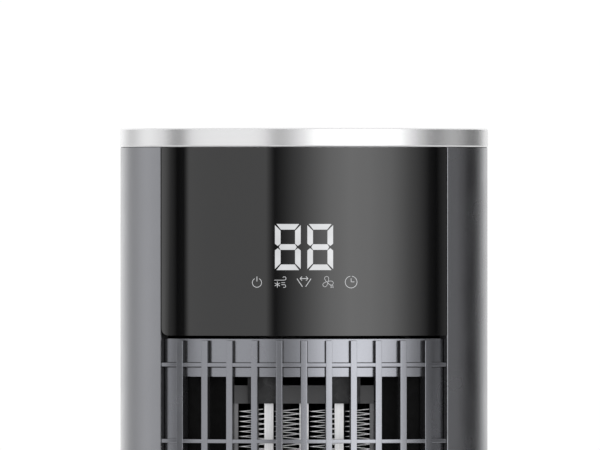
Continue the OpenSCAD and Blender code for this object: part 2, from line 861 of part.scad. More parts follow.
module filter_cover() {
    a = cover_a - asin(0.6 / r_out);
    half = r_out * sin(a);
    color("silver") difference() {
        union() {
            panel(r_out - cover_t, r_out, 180 - a, 180 + a, cover_z, cover_z + cover_h);
            block([-tongue_w / 2, r_out - 2, hinge_z], [tongue_w / 2, r_out - 0.45, cover_z + 2]);
            hinge_bar(-tongue_w / 2, tongue_w / 2, hinge_barrel_r);
        }
        hinge_bar(-tongue_w, tongue_w, hinge_pin_r + fit);
        for (i = [0:slot_rows - 1], k = [-2:2]) {
            z = cover_z + 14 + i * 6;
            w = (2 * half - 16) / 5 - 3;
            x = k * (w + 3);
            block([x - w / 2, r_out / 2, z], [x + w / 2, r_out + 5, z + 3]);
        }
    }
}

module filter_frame() {
    a = cover_a - 5;
    r1 = r_out - cover_t - touch;
    z0 = cover_z + 7;
    z1 = cover_z + cover_h - 7;
    color("dimgray") difference() {
        panel(r1 - 4, r1, 180 - a, 180 + a, z0, z1);
        for (s = [-1, 1], k = [0:3]) {
            pitch = (z1 - z0 - 4) / 4;
            panel(r1 - 10, r1 + 4, 180 + s * a / 2 - a / 2 + 1.6, 180 + s * a / 2 + a / 2 - 1.6,
                z0 + 4 + k * pitch, z0 + (k + 1) * pitch);
        }
        panel(mesh_r - 0.42, mesh_r + 0.42, 180 - a + 0.9, 180 + a - 0.9, z0 + 2, z1 - 2);
    }
}

module filter_mesh() {
    a = cover_a - 6;
    margin = 9.5;
    color("lightgray")
        panel(mesh_r - 0.4, mesh_r + 0.4, 180 - a, 180 + a, cover_z + margin, cover_z + cover_h - margin);
}

// ---- Blower --------------------------------------------------------------

module duct_plate(z) {
    difference() {
        intersection() {
            post([0, 0, z], plate_r, plate_t, fa);
            block([-plate_r, -plate_r, z - 1], [plate_r, wheel_y + wheel_r * 0.75, z + plate_t + 1]);
        }
        spot_holes(1.8);
        for (s = [-1, 1]) post([s * lead_x, lead_y, z - 1], lead_hole_r, plate_t + 2, 24);
        children();
    }
}

module duct_top() {
    color("dimgray") duct_plate(duct_top_z) post([0, wheel_y, duct_top_z - 1], 9 + fit, plate_t + 2);
}

module duct_bottom() {
    color("dimgray") duct_plate(duct_low_z) {
        post([0, wheel_y, duct_low_z - 1], 12, plate_t + 2);
        block([-ptc_half + 6, ptc_yc - 7, duct_low_z - 1],
            [ptc_half - 6, ptc_yc + 7, duct_low_z + plate_t + 1]);
        for (a = [30:120:270]) {
            c = pol(motor_r - 6, a);
            post([c[0], c[1] + wheel_y, duct_low_z - 1], 1.6, plate_t + 2, 24);
        }
    }
}

duct_half = ptc_half + 2.2;              // half width of the duct beside the heater

// Curved back wall of the duct, opening like a scroll towards the outlet
module scroll_wall() {
    n = 18;
    spiral = [for (i = [0:n]) let (a = 205 - i * 142 / n, r = wheel_r + 3.5 + 11 * i / n)
        [r * sin(a), wheel_y - r * cos(a)]];
    line = concat([spiral[0] + [-14, 8]], spiral, [[duct_half, ptc_y1 + 2], [duct_half, ptc_y0 + 1]]);
    color("dimgray") translate([0, 0, duct_low_z + plate_t])
        linear_extrude(duct_top_z - duct_low_z - plate_t) polygon(strip(line, 1.6));
}

// Tongue that parts inlet from outlet
module vortex_wall() {
    n = 8;
    tongue = [for (i = [0:n]) let (a = -96 + i * 40 / n, r = wheel_r + 3.5 + 3 * i / n)
        [r * sin(a), wheel_y - r * cos(a)]];
    line = concat([tongue[0] + [-12, 5]], tongue, [[-duct_half, ptc_y1 + 2], [-duct_half, ptc_y0 + 1]]);
    color("dimgray") translate([0, 0, duct_low_z + plate_t])
        linear_extrude(duct_top_z - duct_low_z - plate_t) polygon(strip(line, 1.6));
}

// Forward-curved blade between two radii
blade_line = [for (i = [0:4]) pol(wheel_r - 10 + 9 * i / 4, 10 * sin(i * 45) - 4)];
disc_count = 6;

module blower_wheel() {
    disc_pitch = (wheel_l - 2) / (disc_count - 1);
    color("black") translate([0, wheel_y, wheel_z0]) {
        difference() {
            union() {
                linear_extrude(wheel_l) for (k = [0:blade_count - 1])
                    rotate(k * 360 / blade_count) polygon(strip(blade_line, 1.1));
                for (k = [0:disc_count - 1]) translate([0, 0, k * disc_pitch]) difference() {
                    cylinder(r = wheel_r, h = 2, $fn = fa);
                    if (k > 0 && k < disc_count - 1) {
                        translate([0, 0, -1]) cylinder(r = wheel_r - 11, h = 4, $fn = fa);
                    }
                }
                cylinder(r = 10, h = 14, $fn = fb);
                translate([0, 0, wheel_l - 10]) cylinder(r = 8, h = 10, $fn = fb);
            }
            translate([0, 0, -1]) cylinder(r = shaft_r, h = wheel_l + 2, $fn = fb);
        }
    }
}

module blower_shaft() {
    color("silver") post([0, wheel_y, motor_z0 - 4], shaft_r, duct_top_z + plate_t + 4 - motor_z0 + 4);
}

module top_bush() {
    color("tan") difference() {
        union() {
            post([0, wheel_y, duct_top_z - 1.5], 9, plate_t + 3);
            post([0, wheel_y, duct_top_z + plate_t], 12, 2);
        }
        post([0, wheel_y, duct_top_z - 9], shaft_r + fit, 30);
    }
}

module motor_can() {
    t = 1.5;
    color("silver") difference() {
        post([0, wheel_y, motor_z0], motor_r, motor_l, fa);
        post([0, wheel_y, motor_z0 + t], motor_r - t, motor_l - 2 * t, fa);
        post([0, wheel_y, motor_z0 - 1], shaft_r + fit, motor_l + 2);
        for (a = [0:30:330], s = [0, 1]) {
            c = pol(motor_r - 12, a);
            post([c[0], c[1] + wheel_y, motor_z0 - 1 + s * (motor_l - 3)], 3, 5, 24);
        }
    }
}

module motor_stator() {
    color("saddlebrown")
        tube([0, wheel_y, motor_z0 + 6], motor_r - 1.5 - touch, motor_r - 14, motor_l - 12, fa);
}

module motor_rotor() {
    color("gray") tube([0, wheel_y, motor_z0 + 8], motor_r - 14.4, shaft_r, motor_l - 16, fa);
}

module motor_grommets() {
    color("black") for (a = [30:120:270]) {
        c = pol(motor_r - 6, a);
        tube([c[0], c[1] + wheel_y, motor_z1], 5, 1.6, duct_low_z - motor_z1, 24);
    }
}

// ---- Heater --------------------------------------------------------------

stack_pitch = fin_w + tube_w;
fins_z0 = ptc_z0 + cap_h;
fins_z1 = ptc_z1 - cap_h;

module ptc_rails() {
    color("silver") for (s = [-1, 1])
        block([s * (ptc_half - rail_w / 2) - rail_w / 2, ptc_y0 + 1, ptc_z0 + 3],
            [s * (ptc_half - rail_w / 2) + rail_w / 2, ptc_y1 - 1, ptc_z1 - 3]);
}

module ptc_tubes() {
    color("gainsboro") for (i = [-1:1])
        block([i * stack_pitch - tube_w / 2, ptc_y0 + 3, ptc_z0 + 5],
            [i * stack_pitch + tube_w / 2, ptc_y1 - 3, ptc_z1 - 5]);
}

module ptc_fins() {
    n = 2 * floor((fins_z1 - fins_z0 - 1) / fin_pitch);
    step = (fins_z1 - fins_z0 - 1) / n;
    x = fin_w / 2 - 0.2 - touch;
    color("lightgray") for (i = [-1.5:1.5])
        along_y(ptc_y0 + 3.5, ptc_y1 - 3.5) translate([i * stack_pitch, fins_z0 + 0.5])
            polygon(strip([for (k = [0:n]) [(k % 2 == 0 ? -x : x), k * step]], 0.4));
}

module ptc_end_caps() {
    holes = concat([for (i = [-1:1]) [i * stack_pitch, tube_w]],
        [for (s = [-1, 1]) [s * (ptc_half - rail_w / 2), rail_w]]);
    color("black") for (z = [ptc_z0, ptc_z1 - cap_h]) difference() {
        block([-ptc_half - 1, ptc_y0, z], [ptc_half + 1, ptc_y1, z + cap_h]);
        for (h = holes)
            block([h[0] - h[1] / 2 - 0.05, ptc_y0 + 0.95, z > ptc_z0 ? z - 1 : z + 2.95],
                [h[0] + h[1] / 2 + 0.05, ptc_y1 - 0.95, z > ptc_z0 ? z + cap_h - 2.95 : z + cap_h + 1]);
    }
}

module ptc_terminals() {
    color("gold") for (x = [-stack_pitch, 0, stack_pitch])
        block([x - 0.4, ptc_yc - 3.2, duct_low_z - terminal_l], [x + 0.4, ptc_yc + 3.2, ptc_z0]);
}

module ptc_brackets() {
    t = 1.2;
    w = 14;
    foot = 7;
    color("silver") for (s = [-1, 1]) {
        x = s * (ptc_half - 16);
        block([x - w / 2, ptc_y0 - t, ptc_z1 - cap_h], [x + w / 2, ptc_y0, duct_top_z]);
        block([x - w / 2, ptc_y0 - t, duct_top_z - t], [x + w / 2, ptc_y0 + foot, duct_top_z]);
        block([x - w / 2, ptc_y0 - t, duct_low_z + plate_t], [x + w / 2, ptc_y0, ptc_z0 + cap_h]);
        block([x - w / 2, ptc_y0 - t, duct_low_z + plate_t],
            [x + w / 2, ptc_y0 + foot, duct_low_z + plate_t + t]);
    }
}

module thermal_cutout() {
    z = duct_top_z + plate_t;
    color("tan") {
        post([20, ptc_yc, z], 8, 6);
        block([11, ptc_yc - 3, z + 5], [29, ptc_yc + 3, z + 8]);
    }
}

module thermistor() {
    color("black") post([-20, ptc_yc, duct_top_z + plate_t], 2.5, 10, 24);
}

// ---- Electronics ---------------------------------------------------------

module power_board() {
    color("darkgreen")
        block([-board_w / 2, board_y, board_z0], [board_w / 2, board_y + board_t, board_z0 + board_h]);
}

module relays() {
    color("navy") for (i = [0:2])
        block([-40 + i * 22, board_y + board_t, board_z0 + 50],
            [-22 + i * 22, board_y + board_t + 14, board_z0 + 65]);
}

module capacitors() {
    color("black") for (i = [0:2])
        along_y(board_y + board_t, board_y + board_t + 18)
            translate([-30 + i * 30, board_z0 + 26]) circle(6.5, $fn = fb);
}

module board_posts() {
    color("dimgray") for (s = [-1, 1]) {
        x = s * (board_w / 2 - 14);
        block([x - 4, board_y - 3, floor_z + floor_t], [x + 4, board_y + board_t + 3, board_z0]);
        block([x - 4, board_y + board_t, floor_z + floor_t], [x + 4, board_y + board_t + 3, board_z0 + 10]);
    }
}

module osc_motor() {
    color("silver") difference() {
        post([gear_c, 0, osc_z], osc_r, osc_l, fa);
        post([gear_c, 0, osc_z - 1], 2 + fit, osc_l - 3, fb);
    }
}

module osc_bracket() {
    t = 2;
    color("gray") difference() {
        union() {
            block([gear_c - 8, -osc_r - 6, osc_z - t], [gear_c + 8, osc_r + 6, osc_z]);
            for (s = [-1, 1])
                block([gear_c - 8, s * (osc_r + 5) - 1, floor_z + floor_t],
                    [gear_c + 8, s * (osc_r + 5) + 1, osc_z - t + eps]);
        }
        post([gear_c, 0, osc_z - 9], 4, 20);
    }
}

module osc_pinion() {
    color("ivory") translate([gear_c, 0, gear_z + 0.4]) {
        rotate(180 / pinion_teeth) linear_extrude(gear_t - 0.8) gear(pinion_teeth);
        translate([0, 0, gear_t - 1]) cylinder(r = 3, h = osc_z - gear_z - gear_t, $fn = fb);
        cylinder(r = 2, h = osc_z - gear_z + osc_l - 9, $fn = fb);
    }
}

module inner_leads() {
    r = 1.6;
    z_mid = board_z0 + board_h;
    color("white") wire([[34, board_y + board_t + touch, z_mid - 8], [34, board_y + 6, z_mid - 8],
        [lead_x, lead_y, z_mid + 10], [lead_x, lead_y, duct_top_z + 12], [24, disp_y + 4, disp_z0 + 8],
        [24, disp_y + touch, disp_z0 + 8]], r);
    z_plug = board_z0 + board_h - 6;
    color("red") for (x = [-stack_pitch, 0, stack_pitch])
        wire([[x, ptc_yc, duct_low_z - terminal_l - touch], [x, ptc_yc, duct_low_z - terminal_l - 4],
            [x, board_y + 9, z_plug + 16], [x, board_y + 9, z_plug],
            [x, board_y + board_t + touch, z_plug]], r);
}

// ---- Drawing -------------------------------------------------------------

rubber_feet();
base_plate();
base_cover();
ballast_ring();
slip_ring();
swing_gear();
gear_screws();
base_screws();
tip_plunger();
tip_spring();
tip_guide();
tip_switch();
cord_gland();
tower_floor();
rear_housing();
front_grille();
top_ring();
top_cap();
display_window();
display_carrier();
display_board();
digit_module();
digit_segments();
icon_guides();
touch_springs();
buzzer();
handle_cup();
duct_top();
duct_bottom();
scroll_wall();
vortex_wall();
ptc_rails();
ptc_tubes();
ptc_fins();
ptc_end_caps();
ptc_terminals();
ptc_brackets();
thermal_cutout();
thermistor();
motor_can();
motor_stator();
motor_grommets();
top_bush();
power_board();
relays();
capacitors();
board_posts();
osc_motor();
osc_bracket();
rocker_case();
tower_screws();
inner_leads();
blower_wheel();
blower_shaft();
motor_rotor();
osc_pinion();
rocker();
filter_cover();
filter_frame();
filter_mesh();
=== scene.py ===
"""Looks of a round tower space heater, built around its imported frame.

Everything is in metres in the frame's own axes: the outlet faces -Y and +Z is up.
The frame's parts keep their shapes. They get rounded edges and real finishes here,
and the lit figures, the grille, the heater fins and the dust net are new pieces.
"""
import math

import bmesh
import bpy
from mathutils import Matrix, Vector


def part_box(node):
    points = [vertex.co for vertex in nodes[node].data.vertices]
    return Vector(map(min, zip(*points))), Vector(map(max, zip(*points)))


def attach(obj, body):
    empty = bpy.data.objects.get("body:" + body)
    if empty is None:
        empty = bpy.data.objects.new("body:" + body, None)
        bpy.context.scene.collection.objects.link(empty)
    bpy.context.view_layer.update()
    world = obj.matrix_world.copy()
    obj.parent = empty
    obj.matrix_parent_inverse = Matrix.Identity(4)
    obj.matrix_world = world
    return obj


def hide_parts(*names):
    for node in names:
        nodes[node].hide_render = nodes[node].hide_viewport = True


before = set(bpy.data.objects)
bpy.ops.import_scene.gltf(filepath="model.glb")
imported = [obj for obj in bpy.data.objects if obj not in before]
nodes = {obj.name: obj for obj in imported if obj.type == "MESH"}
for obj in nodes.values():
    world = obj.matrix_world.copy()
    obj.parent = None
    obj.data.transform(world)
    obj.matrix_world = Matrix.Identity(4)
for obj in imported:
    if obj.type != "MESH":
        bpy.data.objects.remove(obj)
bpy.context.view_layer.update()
scene = bpy.context.scene

MM = 0.001
UP = Vector((0, 0, 1))

# ---- Sizes taken from the frame ----------------------------------------------

ring_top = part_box("top_ring")[1].z
window_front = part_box("display_window")[0].y
grille_lo, grille_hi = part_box("front_grille")
digits_lo, digits_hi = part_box("digit_segments")
guides_lo, guides_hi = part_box("icon_guides")
fins_lo, fins_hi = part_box("ptc_fins")
duct_floor_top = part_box("duct_bottom")[1].z
duct_lid_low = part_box("duct_top")[0].z
net_lo, net_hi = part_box("filter_mesh")
rails_lo, rails_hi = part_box("ptc_rails")

tower_r = -window_front

# Barred front moulding
bar_count = 11
bar_pitch = 12.45 * MM
bar_w = 3.2 * MM
bar_depth = 2.5 * MM
bar_gap = 0.3 * MM
skin_t = 2.2 * MM
sill_h = 30 * MM
cross_h = 1.9 * MM
cross_pitch = 38 * MM
cross_drop = 12.1 * MM
cross_over_sill = 8 * MM
cad_lip = 1.5 * MM
skin_lip = 0.9 * MM
outlet_lip = 0.7 * MM
bar_root = 0.5 * MM
# Width of the painted shade lines beside the bars and cross bars
shade_line_w = 0.3 * MM
band_steps = 48

skin_r = tower_r - bar_depth
bar_r = tower_r - bar_gap
grille_top = grille_hi.z - cad_lip
sill_top = grille_lo.z + sill_h
bar_places = [(i - (bar_count - 1) / 2) * bar_pitch for i in range(bar_count)]
half_bars = (bar_count - 1) / 2 * bar_pitch + bar_w / 2
cross_levels = []
while grille_top - cross_drop - len(cross_levels) * cross_pitch > sill_top + cross_over_sill:
    cross_levels.append(grille_top - cross_drop - len(cross_levels) * cross_pitch)
insert_turn = math.asin(grille_hi.x / bar_r)
outlet_turn = math.asin((half_bars - bar_w) / tower_r)

# Lit figures
digit_w = 13.1 * MM
digit_h = digits_hi.z - digits_lo.z
digit_pitch = digits_hi.x - digits_lo.x - digit_w
digit_z = (digits_lo.z + digits_hi.z) / 2
stroke = 2.8 * MM
segment_gap = 0.55 * MM
mask_inset = 0.15 * MM
icon_count = 5
icon_guide_r = 4 * MM
icon_pitch = (guides_hi.x - guides_lo.x - 2 * icon_guide_r) / (icon_count - 1)
icon_z = (guides_lo.z + guides_hi.z) / 2
glow_lift = 0.03 * MM

# ---- Camera and studio -------------------------------------------------------

view_width = 0.3008
view_distance = 10.0
sensor = 36.0
view_aside = -2 * MM
view_drop = 48.25 * MM
view_centre = Vector((view_aside, 0, ring_top - view_drop))


def studio_camera():
    """Level camera far in front of the outlet, framing the top of the tower."""
    data = bpy.data.cameras.new("camera")
    data.sensor_width = sensor
    data.lens = sensor * view_distance / view_width
    data.clip_start = 0.1
    data.clip_end = 500
    camera = bpy.data.objects.new("camera", data)
    camera.location = view_centre + Vector((0, -view_distance, 0))
    camera.rotation_euler = (math.radians(90), 0, 0)
    scene.collection.objects.link(camera)
    scene.camera = camera


# Brightness of the studio by direction: degrees round from the front towards +X
STUDIO = (
    (-180, 1.3), (-156, 1.34), (-148, 1.06), (-141, 0.75), (-133, 0.8), (-125, 1.2), (-117, 1.5),
    (-108, 1.4), (-103, 1.1), (-100, 1.45), (-93, 0.45), (-87, 0.03), (-81, 0.1), (-77, 1.35),
    (-24, 1.42), (-20, 0.4), (-18, 0.12), (-12, 0.45), (-2, 1.15), (16, 2.85), (29, 3.5),
    (42, 3.3), (56, 2.6), (70, 1.24), (86, 0.12), (92, 0.02), (99, 0.35), (104, 0.52),
    (112, 0.48), (127, 0.0), (140, 0.1), (156, 1.15),
)
BRIGHTEST = 4.0
SKY = 1.3
SKY_FROM, SKY_FULL = 0.12, 0.5
BACKGROUND = 1.02


def studio_world():
    """Soft panels round the object, a bright ceiling and a white background."""
    world = bpy.data.worlds.new("studio")
    scene.world = world
    world.use_nodes = True
    tree = world.node_tree
    tree.nodes.clear()
    add = tree.nodes.new
    link = tree.links.new
    coords = add("ShaderNodeTexCoord")
    split = add("ShaderNodeSeparateXYZ")
    link(coords.outputs["Generated"], split.inputs[0])
    front = add("ShaderNodeMath")
    front.operation = "MULTIPLY"
    front.inputs[1].default_value = -1
    link(split.outputs["Y"], front.inputs[0])
    turn = add("ShaderNodeMath")
    turn.operation = "ARCTAN2"
    link(split.outputs["X"], turn.inputs[0])
    link(front.outputs[0], turn.inputs[1])
    share = add("ShaderNodeMapRange")
    share.inputs["From Min"].default_value = -math.pi
    share.inputs["From Max"].default_value = math.pi
    link(turn.outputs[0], share.inputs["Value"])
    panels = add("ShaderNodeValToRGB")
    stops = panels.color_ramp.elements
    while len(stops) < len(STUDIO):
        stops.new(0.5)
    for stop, (degrees, light) in zip(stops, STUDIO):
        stop.position = (degrees + 180) / 360
        stop.color = (*[light / BRIGHTEST] * 3, 1)
    link(share.outputs["Result"], panels.inputs["Fac"])
    bright = add("ShaderNodeMath")
    bright.operation = "MULTIPLY"
    bright.inputs[1].default_value = BRIGHTEST
    link(panels.outputs["Color"], bright.inputs[0])
    height = add("ShaderNodeMapRange")
    height.interpolation_type = "SMOOTHSTEP"
    height.inputs["From Min"].default_value = SKY_FROM
    height.inputs["From Max"].default_value = SKY_FULL
    link(split.outputs["Z"], height.inputs["Value"])
    mixed = add("ShaderNodeMix")
    mixed.inputs["B"].default_value = SKY
    link(height.outputs["Result"], mixed.inputs["Factor"])
    link(bright.outputs[0], mixed.inputs["A"])
    panel_light = add("ShaderNodeBackground")
    link(mixed.outputs["Result"], panel_light.inputs["Strength"])
    behind = add("ShaderNodeBackground")
    ray = add("ShaderNodeLightPath")
    choose = add("ShaderNodeMixShader")
    link(ray.outputs["Is Camera Ray"], choose.inputs["Fac"])
    link(panel_light.outputs[0], choose.inputs[1])
    link(behind.outputs[0], choose.inputs[2])
    link(choose.outputs[0], add("ShaderNodeOutputWorld").inputs["Surface"])
    panel_light.inputs["Color"].default_value = (1, 1, 1, 1)
    behind.inputs["Color"].default_value = (1, 1, 1, 1)
    behind.inputs["Strength"].default_value = BACKGROUND


# ---- Finishes ----------------------------------------------------------------

def new_finish(name, colour, roughness, metallic=0.0, **sockets):
    """Material whose Principled shader holds these plain values; returns it and its shader."""
    material = bpy.data.materials.new(name)
    material.use_nodes = True
    shader = material.node_tree.nodes["Principled BSDF"]
    shader.inputs["Base Color"].default_value = (*colour, 1)
    shader.inputs["Roughness"].default_value = roughness
    shader.inputs["Metallic"].default_value = metallic
    for socket, value in sockets.items():
        shader.inputs[socket.replace("_", " ")].default_value = value
    return material, shader


def pattern(material, kind, scale, stretch=(1, 1, 1), **inputs):
    """Texture on Object coordinates; scale counts its features per metre."""
    tree = material.node_tree
    coords = tree.nodes.new("ShaderNodeTexCoord")
    mapping = tree.nodes.new("ShaderNodeMapping")
    mapping.inputs["Scale"].default_value = stretch
    texture = tree.nodes.new(kind)
    texture.inputs["Scale"].default_value = scale
    for socket, value in inputs.items():
        texture.inputs[socket].default_value = value
    tree.links.new(coords.outputs["Object"], mapping.inputs["Vector"])
    tree.links.new(mapping.outputs["Vector"], texture.inputs["Vector"])
    return texture


def noise(material, scale, stretch=(1, 1, 1), detail=2.0):
    """Height of a noise pattern."""
    return pattern(material, "ShaderNodeTexNoise", scale, stretch, Detail=detail).outputs[0]


def vary(material, source, socket, low, high, span=(0.3, 0.7)):
    """Moves one of the shader's values between low and high with a pattern."""
    tree = material.node_tree
    remap = tree.nodes.new("ShaderNodeMapRange")
    for name, value in zip(("From Min", "From Max", "To Min", "To Max"), (*span, low, high)):
        remap.inputs[name].default_value = value
    tree.links.new(source, remap.inputs["Value"])
    tree.links.new(remap.outputs["Result"], tree.nodes["Principled BSDF"].inputs[socket])


def tint(material, source, *tones, span=(0.35, 0.65), crisp=False):
    """Colours the shader with two or more tones, spread over a pattern."""
    tree = material.node_tree
    ramp = tree.nodes.new("ShaderNodeValToRGB")
    if crisp:
        ramp.color_ramp.interpolation = "CONSTANT"
    stops = ramp.color_ramp.elements
    while len(stops) < len(tones):
        stops.new(0.5)
    for i, (stop, tone) in enumerate(zip(stops, tones)):
        stop.position = span[0] + (span[1] - span[0]) * i / (len(tones) - 1)
        stop.color = (*tone, 1)
    tree.links.new(source, ramp.inputs["Fac"])
    tree.links.new(ramp.outputs["Color"], tree.nodes["Principled BSDF"].inputs["Base Color"])


def relief(material, source, height, strength=1.0):
    """Bumps of this height, in metres."""
    tree = material.node_tree
    bump = tree.nodes.new("ShaderNodeBump")
    bump.inputs["Strength"].default_value = strength
    bump.inputs["Distance"].default_value = height
    tree.links.new(source, bump.inputs["Height"])
    tree.links.new(bump.outputs["Normal"], tree.nodes["Principled BSDF"].inputs["Normal"])


def scaled(colour, factor):
    """The colour made darker or brighter."""
    return tuple(min(1.0, c * factor) for c in colour)


def colour_mix(tree):
    """Mix node for colours: the node, its two colour inputs and its colour output."""
    mix = tree.nodes.new("ShaderNodeMix")
    mix.data_type = "RGBA"
    first, second = [socket for socket in mix.inputs if socket.type == "RGBA"]
    return mix, first, second, next(socket for socket in mix.outputs if socket.type == "RGBA")


def paint_with_shaded_walls(name, colour, roughness=0.26, wall_shade=(0.012, 0.012, 0.013)):
    """Metallic paint on the outside of a black moulding, with painted shade: faces turned away from
    the outside, such as the side walls of bars and seams, get a near-black, non-metallic colour that
    stands in for the shade in these recesses.
    """
    shade_below, painted_above = 0.08, 0.2
    material, shader = new_finish(name, colour, roughness, 1.0)
    tree = material.node_tree
    flake = noise(material, 2600, detail=1)
    tint(material, flake, scaled(colour, 0.97), scaled(colour, 1.03))
    painted = shader.inputs["Base Color"].links[0].from_socket
    coords = tree.nodes.new("ShaderNodeTexCoord")
    level = tree.nodes.new("ShaderNodeVectorMath")
    level.operation = "MULTIPLY"
    level.inputs[1].default_value = (1, 1, 0)
    tree.links.new(coords.outputs["Object"], level.inputs[0])
    outward = tree.nodes.new("ShaderNodeVectorMath")
    outward.operation = "NORMALIZE"
    tree.links.new(level.outputs[0], outward.inputs[0])
    facing = tree.nodes.new("ShaderNodeVectorMath")
    facing.operation = "DOT_PRODUCT"
    tree.links.new(coords.outputs["Normal"], facing.inputs[0])
    tree.links.new(outward.outputs[0], facing.inputs[1])
    # Painted shade: the further a face turns from the outward direction, the closer its colour goes to
    # the near-black wall shade and the less metallic it is
    reach = tree.nodes.new("ShaderNodeMapRange")
    reach.inputs["From Min"].default_value = shade_below
    reach.inputs["From Max"].default_value = painted_above
    tree.links.new(facing.outputs["Value"], reach.inputs["Value"])
    cover, wall_shade_colour, paint_colour, mixed = colour_mix(tree)
    wall_shade_colour.default_value = (*wall_shade, 1)
    tree.links.new(painted, paint_colour)
    tree.links.new(reach.outputs["Result"], cover.inputs[0])
    tree.links.new(mixed, shader.inputs["Base Color"])
    tree.links.new(reach.outputs["Result"], shader.inputs["Metallic"])
    vary(material, noise(material, 40), "Roughness", roughness - 0.02, roughness + 0.02)
    relief(material, noise(material, 1100, detail=0), 0.0003 * MM)
    return material


def bead_blasted_aluminium(name, colour, roughness=0.24):
    """Anodised aluminium with a fine even grain."""
    material, _ = new_finish(name, colour, roughness, 0.77)
    grain = noise(material, 3200, detail=1)
    tint(material, grain, scaled(colour, 0.98), scaled(colour, 1.02))
    vary(material, grain, "Roughness", roughness - 0.02, roughness + 0.02)
    relief(material, grain, 0.0001 * MM)
    return material


def gloss_black(name, colour=(0.002, 0.002, 0.0022), roughness=0.025):
    """Polished black plastic with hardly visible orange peel."""
    material, _ = new_finish(name, colour, roughness, IOR=1.5)
    vary(material, noise(material, 60), "Roughness", roughness * 0.92, roughness * 1.1)
    relief(material, noise(material, 120, detail=0), 0.0004 * MM)
    return material


def textured_plastic(name, colour, roughness=0.5, grain=0.35, depth=0.02):
    """Moulded plastic with a spark-eroded grain; grain and depth in millimetres."""
    material, _ = new_finish(name, colour, roughness, IOR=1.49)
    cells = noise(material, 1 / (grain * MM), detail=3)
    tint(material, noise(material, 14), scaled(colour, 0.92), scaled(colour, 1.1))
    vary(material, cells, "Roughness", roughness - 0.06, roughness + 0.08)
    relief(material, cells, depth * MM, 0.6)
    return material


def rubber(name, colour=(0.014, 0.014, 0.015)):
    """Matt rubber, slightly dusty."""
    material, _ = new_finish(name, colour, 0.85, Specular_IOR_Level=0.3)
    tint(material, noise(material, 90, detail=6), colour, scaled(colour, 2.2))
    relief(material, noise(material, 1400), 0.02 * MM, 0.5)
    return material


def stove_black(name, colour=(0.0025, 0.0025, 0.0026)):
    """Matt heat-proof paint on sheet metal; its near-black default colour is painted shade for the
    sheets deep inside the outlet.
    """
    material, _ = new_finish(name, colour, 0.9, Specular_IOR_Level=0.08)
    tint(material, noise(material, 300, detail=4), colour, scaled(colour, 1.6))
    relief(material, noise(material, 2200), 0.01 * MM, 0.5)
    return material


def zinc_plate(name, colour=(0.55, 0.56, 0.57)):
    """Zinc-plated steel with faint spangles."""
    material, _ = new_finish(name, colour, 0.32, 1.0)
    spangle = pattern(material, "ShaderNodeTexVoronoi", 320).outputs["Color"]
    tint(material, spangle, scaled(colour, 0.82), scaled(colour, 1.15), span=(0.2, 0.8))
    vary(material, noise(material, 220, detail=4), "Roughness", 0.24, 0.42)
    return material


def turned_metal(name, colour, roughness=0.25, across=(0.02, 0.02, 1)):
    """Ground or rolled metal with fine lines; across stretches the lines the other way."""
    material, _ = new_finish(name, colour, roughness, 1.0)
    lines = noise(material, 6000, across, detail=3)
    tint(material, lines, scaled(colour, 0.88), scaled(colour, 1.08))
    vary(material, lines, "Roughness", roughness - 0.07, roughness + 0.08)
    relief(material, lines, 0.003 * MM, 0.5)
    return material


def solder_mask(name):
    """Green board with paler tracks and tinned spots under the lacquer."""
    green, track, tin = (0.008, 0.075, 0.028), (0.014, 0.13, 0.045), (0.5, 0.5, 0.48)
    spot_reach = 0.16
    material, _ = new_finish(name, green, 0.3, Coat_Weight=0.4, Coat_Roughness=0.12)
    tracks = pattern(material, "ShaderNodeTexBrick", 130, (1, 0.1, 1)).outputs["Fac"]
    spots = pattern(material, "ShaderNodeTexVoronoi", 190).outputs["Distance"]
    tree = material.node_tree
    lanes, lane_green, lane_track, lacquer = colour_mix(tree)
    tree.links.new(tracks, lanes.inputs[0])
    lane_green.default_value = (*green, 1)
    lane_track.default_value = (*track, 1)
    near = tree.nodes.new("ShaderNodeMath")
    near.operation = "LESS_THAN"
    near.inputs[1].default_value = spot_reach
    tree.links.new(spots, near.inputs[0])
    dots, under, spot, board = colour_mix(tree)
    tree.links.new(near.outputs[0], dots.inputs[0])
    tree.links.new(lacquer, under)
    spot.default_value = (*tin, 1)
    tree.links.new(board, tree.nodes["Principled BSDF"].inputs["Base Color"])
    relief(material, tracks, 0.03 * MM)
    return material


def wound_copper(name):
    """Enamelled copper wire, laid in rings, darker in the grooves between the turns: painted shade."""
    material, _ = new_finish(name, (0.5, 0.17, 0.06), 0.28, 0.9, Coat_Weight=0.6, Coat_Roughness=0.15)
    turns = pattern(material, "ShaderNodeTexWave", 700, (0, 0, 1)).outputs["Fac"]
    material.node_tree.nodes["Wave Texture"].bands_direction = "Z"
    # Painted shade: dark copper tone in the grooves between the turns
    tint(material, turns, (0.16, 0.045, 0.015), (0.62, 0.24, 0.09))
    relief(material, turns, 0.25 * MM)
    return material


def laminated_steel(name):
    """Rotor of stacked steel sheets."""
    material, _ = new_finish(name, (0.3, 0.3, 0.31), 0.4, 1.0)
    sheets = pattern(material, "ShaderNodeTexWave", 500, (0, 0, 1)).outputs["Fac"]
    material.node_tree.nodes["Wave Texture"].bands_direction = "Z"
    tint(material, sheets, (0.12, 0.12, 0.125), (0.38, 0.38, 0.39))
    relief(material, sheets, 0.1 * MM)
    return material


def lit_guide(name, glow=0.7):
    """Milky light guide that glows, slightly unevenly."""
    material, _ = new_finish(
        name, (0.02, 0.02, 0.022), 0.12, IOR=1.5, Emission_Color=(0.97, 0.985, 1.0, 1))
    vary(material, noise(material, 160, detail=1), "Emission Strength", glow * 0.94, glow * 1.05)
    return material


